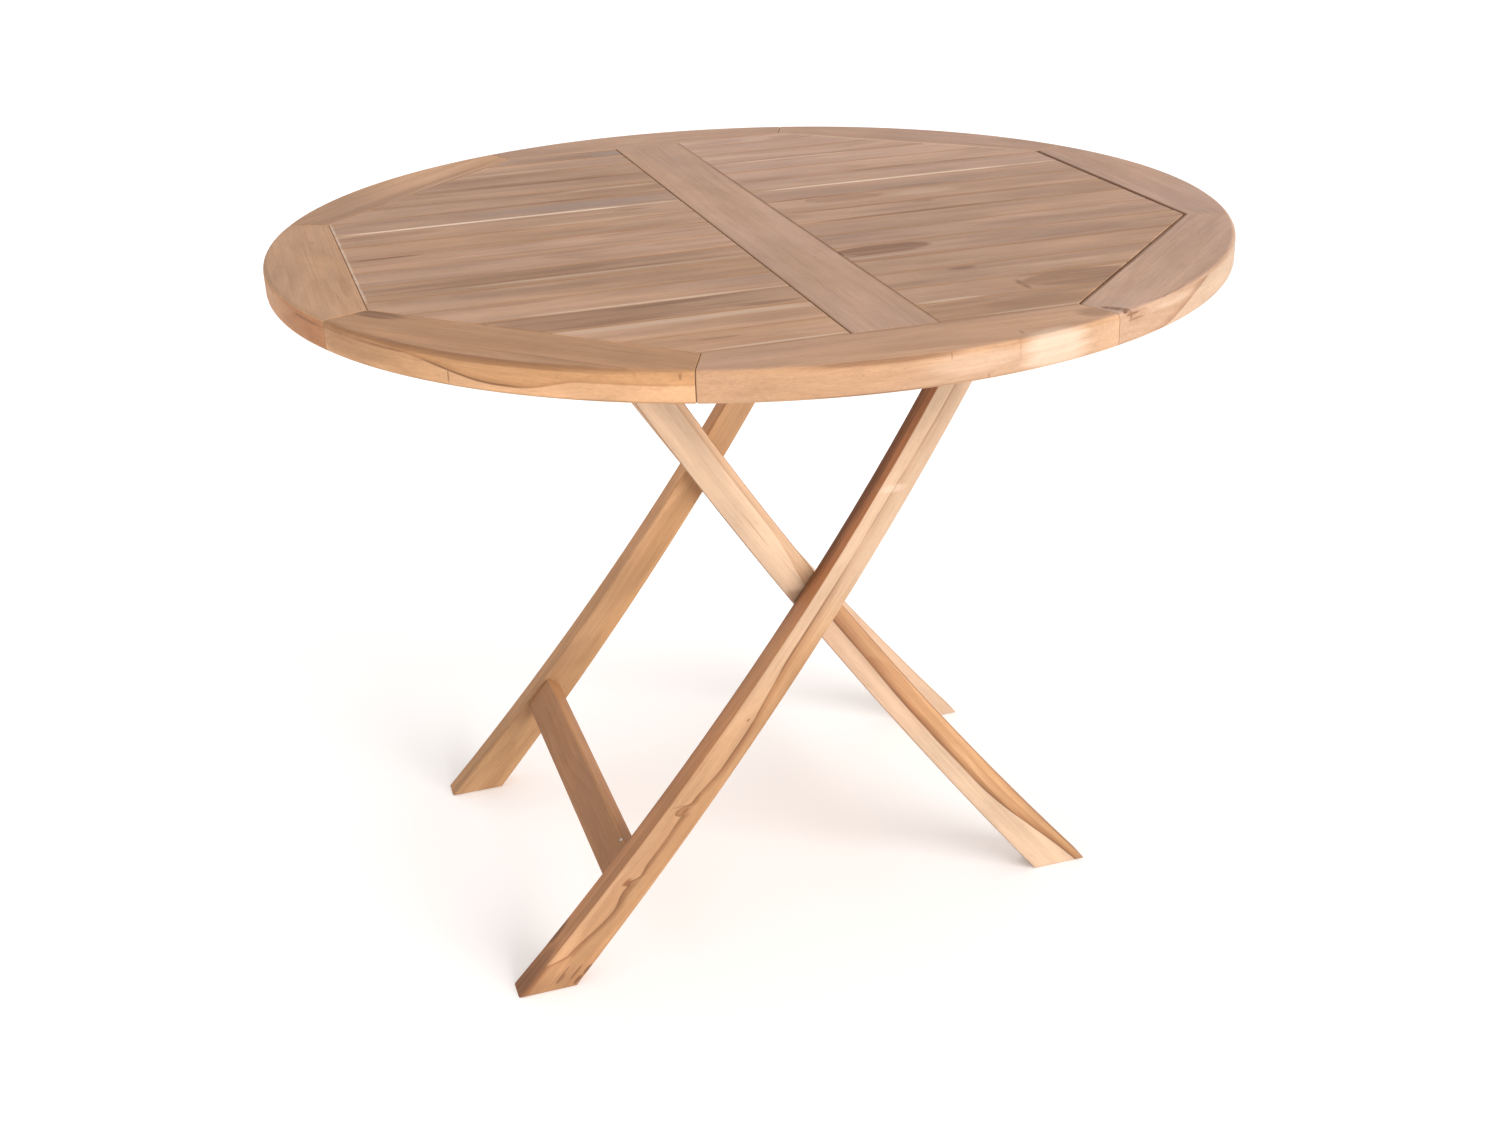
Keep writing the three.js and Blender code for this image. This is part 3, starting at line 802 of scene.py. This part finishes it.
def weather_wood(g, given, colour):
    """Greyed top faces, dark end grain, dirt in the joints, and the marks."""
    colour = g.mix(given["Up"], colour, g.mix(1.0, colour, WEATHERED, "MULTIPLY"))
    colour = g.mix(g.times(given["End"], END_GRAIN_DARKENS), colour, LATEWOOD)

    # Dirt gathers against the next board, more on the front arris than on the rear one.
    y = g.split(given["Board"])[1]
    edge = g.subtract(given["Half Width"], g.math("ABSOLUTE", y))
    grime = g.times(g.span(edge, 0.0008, 0.0028, 1.0, 0.0), g.span(y, -0.001, 0.001, 0.62, 0.15))
    colour = g.mix(grime, colour, GRIME)
    for mask, tint in (("Grey", GREY_STAIN), ("Dark", DARK_STREAK_AND_SHADE), ("Pale", PALE), ("Knot", KNOT)):
        colour = g.mix(given[mask], colour, tint)
    return colour


def build_teak_group():
    """Wood from board coordinates in metres: x along the grain, y across the face, z through it."""
    inputs = (
        ("Board", "Vector", (0, 0, 0)),
        ("Up", "Float", 0.0),
        ("End", "Float", 0.0),
        ("Seed", "Float", 0.0),
        ("Tone", "Float", 1.0),
        ("Warmth", "Float", 0.5),
        ("Ruddy", "Float", 0.0),
        ("Streaks", "Float", 0.3),
        ("Figure", "Float", 1.0),
        ("Sapwood", "Float", 0.0),
        ("Knot", "Float", 0.0),
        ("Dark", "Float", 0.0),
        ("Pale", "Float", 0.0),
        ("Grey", "Float", 0.0),
        ("Half Width", "Float", CLEAN_SIDES),
    )
    outputs = (("Color", "Color"), ("Roughness", "Float"), ("Height", "Float"))
    g, given, result = new_group("teak", inputs, outputs)
    board = given["Board"]
    seed = given["Seed"]
    place = g.vector("ADD", board, g.join(g.times(seed, 3.1), g.times(seed, 1.7), seed))
    noises = read_noises(g, place)
    late = grow_rings(g, board, seed, noises)
    pore = g.span(noises["pore"], 0.60, 0.74)
    colour = weather_wood(g, given, colour_wood(g, given, noises, late, pore))
    rough = g.add(0.50, g.times(noises["coarse"], 0.22))
    rough = g.add(rough, g.times(pore, 0.08))
    height = g.add(g.times(noises["fibre"], 0.5), g.times(late, 0.35))
    height = g.subtract(height, g.times(pore, 0.9))
    height = g.subtract(height, g.times(given["Knot"], 0.4))
    g.feed(colour, result["Color"])
    g.feed(rough, result["Roughness"])
    g.feed(height, result["Height"])


def add_marks(g, board, marks, *kinds):
    """The strongest of the marks of these kinds. A mark is kind, centre, reach and strength."""
    total = 0.0
    for kind, centre, reach, strength in marks:
        if kind not in kinds:
            continue
        mark = g.node("ShaderNodeGroup", node_tree=bpy.data.node_groups["mark"])
        g.feed(board, mark.inputs["Board"])
        mark.inputs["Centre"].default_value = centre
        mark.inputs["Scale"].default_value = [1 / length if length else 0 for length in reach]
        mark.inputs["Strength"].default_value = strength
        mark.inputs["Soft"].default_value = MARK_SOFTNESS[kind]
        total = g.math("MAXIMUM", total, mark.outputs[0])
    return total


def add_knots(g, board, knots):
    """Bends the grain round each knot and returns the bent coordinates and the dark centres."""
    dark = 0.0
    for along_board, across, size in knots:
        x, y, z = g.split(board)
        off_x = g.times(g.subtract(x, along_board), KNOT_LENGTHENS)
        off_y = g.subtract(y, across)
        away = g.math("DIVIDE", g.vector("LENGTH", g.join(off_x, off_y, 0.0)), size)
        pull = g.times(g.span(away, 0.3, 3.6, 1.0, 0.0), KNOT_BENDS)
        board = g.join(x, g.subtract(y, g.times(off_y, pull)), z)
        wobble = g.times(g.noise(board, KNOT_EDGE_CELLS, 2), 0.5)
        core = g.span(g.add(away, wobble), 0.55, 1.35, 0.9, 0.0)
        dark = g.math("MAXIMUM", dark, core)
    return board, dark


def along(g, x, value):
    """A constant, or a base and its smooth steps along the board: (base, ((start, end, rise), ...))."""
    if not isinstance(value, tuple):
        return value
    total, steps = value
    for start, end, rise in steps:
        total = g.add(total, g.span(x, start, end, 0.0, rise))
    return total


def add_sapwood(
    g, board, shown, line, side=1, through=False, wander=0.006, blend=0.0015, dark=0.6, under=1.0
):
    """The pale side of a line along the board, the thin dark line itself, and the glow under it."""
    x, y, z = g.split(board)
    waves = g.times(g.subtract(g.noise(board, SAP_WAVE_CELLS, 3), 0.5), wander)
    past = g.subtract(z if through else y, g.add(waves, along(g, x, line)))
    past = g.times(past, side)
    core = g.span(g.math("ABSOLUTE", past), 0.0004, 0.0016, 1.0, 0.0)
    patchy = g.span(g.noise(board, SAP_PATCH_CELLS, 2), 0.35, 0.6, 0.25, 1.0)
    core = g.times(g.times(core, patchy), along(g, x, dark))
    glow = g.times(g.span(past, -0.009, -0.0005), g.span(past, -0.0005, 0.0008, 1.0, 0.0))
    glow = g.times(g.times(glow, along(g, x, dark)), under)
    return [g.times(mask, shown) for mask in (g.span(past, 0.0, blend), core, glow)]


def board_frame(g, origin, grain, across):
    """Coordinates along the grain, across the face and through it, from a straight board's place."""
    through = grain.cross(across)
    mapping = g.node("ShaderNodeMapping", vector_type="TEXTURE")
    mapping.inputs["Location"].default_value = origin
    mapping.inputs["Rotation"].default_value = Matrix((grain, across, through)).transposed().to_euler()
    g.feed(g.node("ShaderNodeTexCoord").outputs["Object"], mapping.inputs["Vector"])
    return mapping.outputs["Vector"]


def leg_frame(g, leg, middle_y):
    """Coordinates that follow a curved leg: along it from its foot, across it towards -X, and through it."""
    x0, slope, curve = leg
    x, y, z = g.split(g.node("ShaderNodeTexCoord").outputs["Object"])
    centre = g.add(g.times(g.add(g.times(z, curve), slope), z), x0)
    across = g.times(g.subtract(centre, x), 1 / LEG_STRETCH)
    return g.join(g.times(z, LEG_STRETCH), across, g.subtract(y, middle_y))


def arris_frame(g, x, board):
    """Coordinates for marks that follow the round edge: along the board, in from the edge, and up."""
    place = g.vector("MULTIPLY", g.node("ShaderNodeTexCoord").outputs["Object"], (1, 1, 0))
    return g.join(x, g.subtract(RIM_OUTER_RADIUS, g.vector("LENGTH", place)), g.split(board)[2])


def read_faces(g, grain, across):
    """How far a face looks up, stands upright, shows end grain, and is a narrow side of the board."""
    normal = g.node("ShaderNodeTexCoord").outputs["Normal"]
    rise = g.vector("DOT_PRODUCT", normal, (0, 0, 1))
    up = g.span(rise, 0.55, 0.95)
    upright = g.span(g.math("ABSOLUTE", rise), 0.35, 0.75, 1.0, 0.0)
    end = g.span(g.math("ABSOLUTE", g.vector("DOT_PRODUCT", normal, tuple(grain))), 0.75, 0.95)
    edge = g.span(g.math("ABSOLUTE", g.vector("DOT_PRODUCT", normal, tuple(across))), 0.6, 0.9)
    return up, upright, end, edge


def add_bump(g, height, relief, surface):
    bump = g.node("ShaderNodeBump")
    strength, depth = relief
    bump.inputs["Strength"].default_value = strength
    bump.inputs["Distance"].default_value = depth
    g.feed(height, bump.inputs["Height"])
    g.feed(bump.outputs["Normal"], surface.inputs["Normal"])


def wood(name, board_coordinates, grain, across, half_width, seed, **look):
    """A wood material. board_coordinates(g) gives the board's own coordinates in its node tree."""
    material = bpy.data.materials.new(name)
    material.use_nodes = True
    g = Graph(material.node_tree)
    surface = material.node_tree.nodes["Principled BSDF"]
    board, knot = add_knots(g, board_coordinates(g), look.get("knots", ()))
    x = g.split(board)[0]
    up, upright, end, edge = read_faces(g, grain, across)
    broad = g.subtract(1.0, g.times(edge, NARROW_SIDE_HIDES))
    # The narrow sides get their own tone and redness: partly their own grain, partly painted light and
    # shade.
    side_grain_and_shading_tone, side_shading_redness = look.get("edge", (1.0, 0.0))
    side_grain_and_shading = g.add(1.0, g.times(edge, g.subtract(along(g, x, side_grain_and_shading_tone), 1.0)))
    tone = g.times(along(g, x, look.get("tone", 1.0)), side_grain_and_shading)
    ruddy = g.add(along(g, x, look.get("ruddy", 0.0)), g.times(edge, along(g, x, side_shading_redness)))
    sapwood = g.times(along(g, x, look.get("bleach", 0.0)), broad)
    marks = look.get("marks", ())
    dark = add_marks(g, board, marks, "dark", "lens", "crack")
    pale = add_marks(g, board, marks, "pale")
    if "arris" in look:
        edge_board = arris_frame(g, x, board)
        dark = g.math("MAXIMUM", dark, add_marks(g, edge_board, look["arris"], "dark", "crack"))
        pale = g.math("MAXIMUM", pale, add_marks(g, edge_board, look["arris"], "pale"))
    for strength, lift, sap in look.get("saps", ()):
        pale_side, line, glow = add_sapwood(g, board, upright if sap.get("through") else broad, **sap)
        sapwood = g.math("MAXIMUM", sapwood, g.times(pale_side, along(g, x, strength)))
        tone = g.times(tone, g.add(1.0, g.times(pale_side, along(g, x, lift))))
        tone = g.times(tone, g.subtract(1.0, g.times(glow, GLOW_DARKENS)))
        dark = g.math("MAXIMUM", dark, line)
        ruddy = g.add(ruddy, g.times(glow, GLOW_REDDENS))
    teak = g.node("ShaderNodeGroup", node_tree=bpy.data.node_groups["teak"])
    for value, socket in (
        (board, "Board"),
        (g.times(up, look.get("weather", 1.0)), "Up"),
        (end, "End"),
        (float(seed), "Seed"),
        (tone, "Tone"),
        (look.get("warmth", 0.5), "Warmth"),
        (ruddy, "Ruddy"),
        (look.get("streaks", 0.3), "Streaks"),
        (look.get("figure", 1.0), "Figure"),
        (sapwood, "Sapwood"),
        (knot, "Knot"),
        (dark, "Dark"),
        (pale, "Pale"),
        (add_marks(g, board, marks, "grey"), "Grey"),
        (half_width, "Half Width"),
    ):
        g.feed(value, teak.inputs[socket])
    g.feed(teak.outputs["Color"], surface.inputs["Base Color"])
    g.feed(teak.outputs["Roughness"], surface.inputs["Roughness"])
    add_bump(g, teak.outputs["Height"], WOOD_BUMP, surface)
    surface.inputs["Specular IOR Level"].default_value = WOOD_GLOSS
    return material


def build_steel():
    """Plain zinc-plated steel: fine turning lines, and dull patches."""
    material = bpy.data.materials.new("steel")
    material.use_nodes = True
    g = Graph(material.node_tree)
    surface = material.node_tree.nodes["Principled BSDF"]
    place = g.node("ShaderNodeTexCoord").outputs["Object"]
    dull = g.noise(place, DULL_CELLS, 3, 0.6)
    turned = g.noise(place, TURNING_CELLS, 2)
    rough = g.add(g.span(dull, 0.3, 0.7, 0.26, 0.46), g.times(turned, 0.1))
    g.feed(g.mix(g.span(dull, 0.35, 0.7), BRIGHT_STEEL, DULL_STEEL), surface.inputs["Base Color"])
    g.feed(rough, surface.inputs["Roughness"])
    add_bump(g, turned, STEEL_BUMP, surface)
    surface.inputs["Metallic"].default_value = 1.0
    return material


def dress(node, material):
    part = frame["nodes"][node]
    part.data.materials.clear()
    part.data.materials.append(material)


def middle(node):
    low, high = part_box(node)
    return (Vector(low) + Vector(high)) / 2


def on_top(origin, grain, across, marks):
    """Marks given in millimetres on the tabletop, moved into a board's own coordinates."""
    moved = []
    for kind, x, y, half_length, half_width, strength in marks:
        offset = Vector((x / 1000, y / 1000, TOP_Z)) - origin
        centre = (offset.dot(grain), offset.dot(across), 0)
        moved.append((kind, centre, (half_length / 1000, half_width / 1000, 0), strength))
    return moved


def straight(node, grain, across, seed, half_width=CLEAN_SIDES, origin=None, **look):
    """Dresses a straight board in wood."""
    grain = Vector(grain).normalized()
    across = Vector(across).normalized()
    origin = origin or middle(node)

    def coordinates(g):
        return board_frame(g, origin, grain, across)

    dress(node, wood(node, coordinates, grain, across, half_width, seed, **look))


def dress_slats():
    grain = Vector((1, 0, 0))
    across = Vector((0, 1, 0))
    for side_number, (side, looks) in enumerate(SLAT_LOOKS.items()):
        end_kind, end_x, end_strength = END_LINES[side]
        for index, (tone, warmth) in enumerate(looks):
            label = f"{side}_{index + 1:02d}"
            node = f"slat_{label}"
            low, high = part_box(node)
            marks = list(SLAT_MARKS.get(label, ()))
            if index in END_LINE_SLATS:
                end_y = low[1] * 1000 + SLAT_HALF_PITCH
                marks.append((end_kind, end_x, end_y, *END_LINE_REACH, end_strength))
            straight(
                node,
                grain,
                across,
                side_number * SLAT_SIDE_STEP + index * SLAT_SEED_STEP + SLAT_SEED,
                (high[1] - low[1]) / 2,
                tone=tone,
                warmth=warmth,
                streaks=SLAT_STREAKS.get(label, SLAT_STREAKS[side]),
                figure=SLAT_FIGURE,
                marks=on_top(middle(node), grain, across, marks),
            )


def dress_rim():
    for number, look in RIM_LOOKS.items():
        angle = (number - 1) * math.tau / RIM_SEGMENTS
        inward = Vector((-math.cos(angle), -math.sin(angle), 0))
        anticlockwise = Vector((-math.sin(angle), math.cos(angle), 0))
        origin = Vector((0, 0, RIM_MIDDLE_Z)) - inward * RIM_MIDDLE_RADIUS
        seed = number * RIM_SEED_STEP - RIM_SEED
        straight(f"rim_{number}", anticlockwise, inward, seed, origin=origin, streaks=RIM_STREAKS,
                 figure=RIM_FIGURE, **look)
    straight("centre_rail", (0, 1, 0), (1, 0, 0), CENTRE_RAIL_SEED, CENTRE_RAIL_HALF_WIDTH,
             **CENTRE_RAIL_LOOK)


def dress_leg(node, leg, seed, look):
    middle_y = middle(node).y
    grain = Vector((leg[1] * MEAN_SLOPE, 0, 1)).normalized()
    across = Vector((grain.z, 0, -grain.x))

    def coordinates(g):
        return leg_frame(g, leg, middle_y)

    dress(node, wood(node, coordinates, grain, across, CLEAN_SIDES, seed, streaks=LEG_STREAKS,
                     weather=LEG_WEATHER, **look))


def dress_frames():
    for kind, leg, look in LEGS:
        dress_leg(f"{kind}_front", leg, LEG_SEEDS["front"] + leg[0], look)
        dress_leg(f"{kind}_rear", leg, LEG_SEEDS["rear"] + leg[0], REAR_LEG_LOOKS[kind])
    for number, node in enumerate(("outer_stretcher", "inner_stretcher", "inner_top_rail")):
        straight(node, (0, 1, 0), (0, 0, 1), number + STRETCHER_SEED, **STRETCHER_LOOK)
    for number, node in enumerate(("batten_front", "batten_rear", "catch_cleat_front", "catch_cleat_rear")):
        straight(node, (1, 0, 0), (0, 0, 1), number + BATTEN_SEED, **BATTEN_LOOK)


def round_edges():
    """The CAD's facets are joined and its arrises eased, without touching its vertices."""
    for part in frame["nodes"].values():
        part.data.polygons.foreach_set("use_smooth", [True] * len(part.data.polygons))
        weld = part.modifiers.new("weld", "WELD")
        weld.merge_threshold = WELD_REACH
        flatten = part.modifiers.new("flatten", "DECIMATE")
        flatten.decimate_type = "DISSOLVE"
        flatten.angle_limit = math.radians(FACET_ANGLE)
        bevel = part.modifiers.new("bevel", "BEVEL")
        bevel.width = EDGE_WIDTH
        bevel.segments = EDGE_SEGMENTS
        bevel.limit_method = "ANGLE"
        bevel.angle_limit = math.radians(SHARP_ANGLE)
        part.modifiers.new("normals", "WEIGHTED_NORMAL")


def cross_outline(reach, half):
    """The twelve corners of a cross, anticlockwise: one arm, turned four times by a quarter."""
    arm = [(reach, -half), (reach, half), (half, half)]
    outline = []
    for _ in range(4):
        outline += arm
        arm = [(-y, x) for x, y in arm]
    return outline


def screw_mesh(radius, crown, slot_reach, slot_half, slot_depth):
    """A domed screw head with a cross recess, standing on z = 0."""
    mesh = bpy.data.meshes.new("screw")
    work = bmesh.new()
    levels = []
    for reach, rise in SCREW_PROFILE:
        points = []
        for step in range(SCREW_SIDES):
            angle = step * math.tau / SCREW_SIDES
            x = radius * reach * math.cos(angle)
            y = radius * reach * math.sin(angle)
            points.append(work.verts.new((x, y, crown * rise)))
        levels.append(points)
    for low, high in zip(levels, levels[1:]):
        for step in range(SCREW_SIDES):
            after = (step + 1) % SCREW_SIDES
            work.faces.new((low[step], low[after], high[after], high[step]))
    work.faces.new(levels[0][::-1])
    outline = cross_outline(slot_reach * radius, slot_half * radius)
    taper_x, taper_y = RECESS_TAPER
    rim = [work.verts.new((x, y, crown)) for x, y in outline]
    floor = [work.verts.new((x * taper_x, y * taper_y, crown - slot_depth)) for x, y in outline]
    for step in range(len(outline)):
        after = (step + 1) % len(outline)
        work.faces.new((rim[step], rim[after], floor[after], floor[step]))
    work.faces.new(floor)
    loops = []
    for points in (levels[-1], rim):
        for step, point in enumerate(points):
            after = points[(step + 1) % len(points)]
            loops.append(work.edges.get((point, after)) or work.edges.new((point, after)))
    bmesh.ops.triangle_fill(work, edges=loops, use_beauty=True)
    bmesh.ops.recalc_face_normals(work, faces=work.faces)
    work.to_mesh(mesh)
    work.free()
    return mesh


def add_head(name, mesh, node, body, near):
    """Stands a screw head or pin on a CAD node's surface, at the place nearest to a point."""
    _, place, outward, _ = frame["nodes"][node].closest_point_on_mesh(Vector(near))
    screw = bpy.data.objects.new(name, mesh)
    screw.rotation_mode = "QUATERNION"
    screw.rotation_quaternion = outward.to_track_quat("Z", "Y")
    screw.location = place
    bpy.context.scene.collection.objects.link(screw)
    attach(screw, body)


def add_screws(steel):
    """Screws that hold the battens and cleats, and the pins through the stretchers' ends."""
    head = screw_mesh(**SCREW_HEAD)
    pin = screw_mesh(**PIN_HEAD)
    for mesh in (head, pin):
        mesh.materials.append(steel)
    pin_x, pin_y, pin_z = INNER_PIN
    for side, hand in (("front", -1), ("rear", 1)):
        for label, node, y, places in SCREW_ROWS:
            for number, x in enumerate(places):
                name = f"screw_{label}_{side}_{number + 1}"
                add_head(name, head, f"{node}_{side}", "top", (x, hand * y, SCREW_Z))
        add_head(f"pin_inner_{side}", pin, "inner_stretcher", "inner_frame", (pin_x, hand * pin_y, pin_z))
    add_head("pin_outer_front", pin, "outer_stretcher", "outer_frame", OUTER_PIN)


add_camera()
add_surround()
add_sun()
add_floor()
build_mark_group()
build_teak_group()
steel = build_steel()
dress_slats()
dress_rim()
dress_frames()
for node in frame["nodes"]:
    if node.startswith(("cross_", "tilt_")):
        dress(node, steel)
add_screws(steel)
round_edges()
